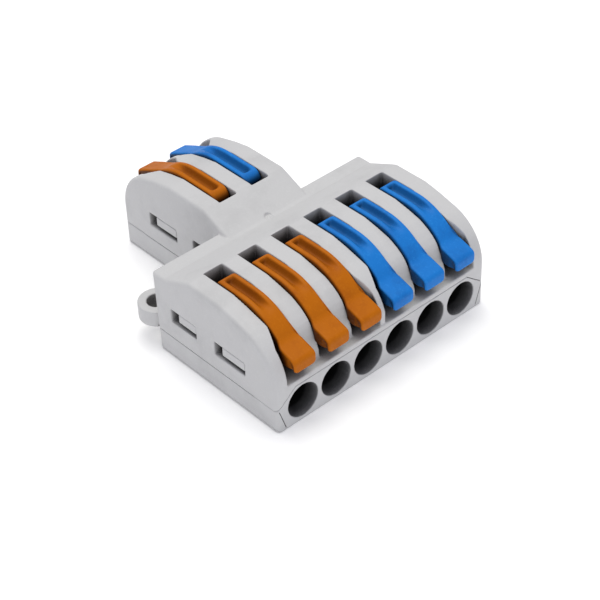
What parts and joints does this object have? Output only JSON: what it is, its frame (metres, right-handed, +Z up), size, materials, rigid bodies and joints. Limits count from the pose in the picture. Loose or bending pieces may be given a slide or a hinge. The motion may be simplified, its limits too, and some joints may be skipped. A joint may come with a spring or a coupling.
{
  "type": "lever wire connector",
  "caption": "Push-lever splicing connector: a wide block of wire entries with flip levers, joined back to back to a narrow block, with two busbars and side mounting ears.",
  "frame": {"origin": "middle of the footprint, on the surface that the base rests on", "axes": "+X along the row of levers from the orange side to the blue side, +Y from the wide six-wire face to the narrow two-wire face, +Z up"},
  "size_m": [0.044, 0.052, 0.0171],
  "materials": {
    "housing_plastic": "fine satin moulded polyamide, light grey",
    "base_plastic": "fine satin moulded polyamide, light grey, a shade cooler than the housing",
    "lever_orange": "satin orange moulded plastic",
    "lever_blue": "satin blue moulded plastic",
    "tinned_copper": "tin-plated copper, dull",
    "spring_steel": "stainless spring strip"
  },
  "bodies": {
    "root": {"upper_housing": "housing_plastic", "lower_base": "base_plastic", "busbar_line": "tinned_copper", "busbar_neutral": "tinned_copper", "clamp_spring_front_1": "spring_steel", "clamp_spring_front_2": "spring_steel", "clamp_spring_front_3": "spring_steel", "clamp_spring_front_4": "spring_steel", "clamp_spring_front_5": "spring_steel", "clamp_spring_front_6": "spring_steel", "clamp_spring_rear_left": "spring_steel", "clamp_spring_rear_right": "spring_steel"},
    "lever_front_1": {"lever_front_1": "lever_orange"},
    "lever_front_2": {"lever_front_2": "lever_orange"},
    "lever_front_3": {"lever_front_3": "lever_orange"},
    "lever_front_4": {"lever_front_4": "lever_blue"},
    "lever_front_5": {"lever_front_5": "lever_blue"},
    "lever_front_6": {"lever_front_6": "lever_blue"},
    "lever_rear_left": {"lever_rear_left": "lever_orange"},
    "lever_rear_right": {"lever_rear_right": "lever_blue"}
  },
  "joints": [
    {"name": "lever_front_1_hinge", "type": "hinge", "parent": "root", "child": "lever_front_1", "pos_m": [-0.01625, -0.0122, 0.0123], "axis": [-1, 0, 0], "range_deg": [0, 90], "deforming": ["clamp_spring_front_1"]},
    {"name": "lever_front_2_hinge", "type": "hinge", "parent": "root", "child": "lever_front_2", "pos_m": [-0.00975, -0.0122, 0.0123], "axis": [-1, 0, 0], "range_deg": [0, 90], "deforming": ["clamp_spring_front_2"]},
    {"name": "lever_front_3_hinge", "type": "hinge", "parent": "root", "child": "lever_front_3", "pos_m": [-0.00325, -0.0122, 0.0123], "axis": [-1, 0, 0], "range_deg": [0, 90], "deforming": ["clamp_spring_front_3"]},
    {"name": "lever_front_4_hinge", "type": "hinge", "parent": "root", "child": "lever_front_4", "pos_m": [0.00325, -0.0122, 0.0123], "axis": [-1, 0, 0], "range_deg": [0, 90], "deforming": ["clamp_spring_front_4"]},
    {"name": "lever_front_5_hinge", "type": "hinge", "parent": "root", "child": "lever_front_5", "pos_m": [0.00975, -0.0122, 0.0123], "axis": [-1, 0, 0], "range_deg": [0, 90], "deforming": ["clamp_spring_front_5"]},
    {"name": "lever_front_6_hinge", "type": "hinge", "parent": "root", "child": "lever_front_6", "pos_m": [0.01625, -0.0122, 0.0123], "axis": [-1, 0, 0], "range_deg": [0, 90], "deforming": ["clamp_spring_front_6"]},
    {"name": "lever_rear_left_hinge", "type": "hinge", "parent": "root", "child": "lever_rear_left", "pos_m": [-0.00325, 0.01125, 0.0123], "axis": [1, 0, 0], "range_deg": [0, 90], "deforming": ["clamp_spring_rear_left"]},
    {"name": "lever_rear_right_hinge", "type": "hinge", "parent": "root", "child": "lever_rear_right", "pos_m": [0.00325, 0.01125, 0.0123], "axis": [1, 0, 0], "range_deg": [0, 90], "deforming": ["clamp_spring_rear_right"]}
  ]
}
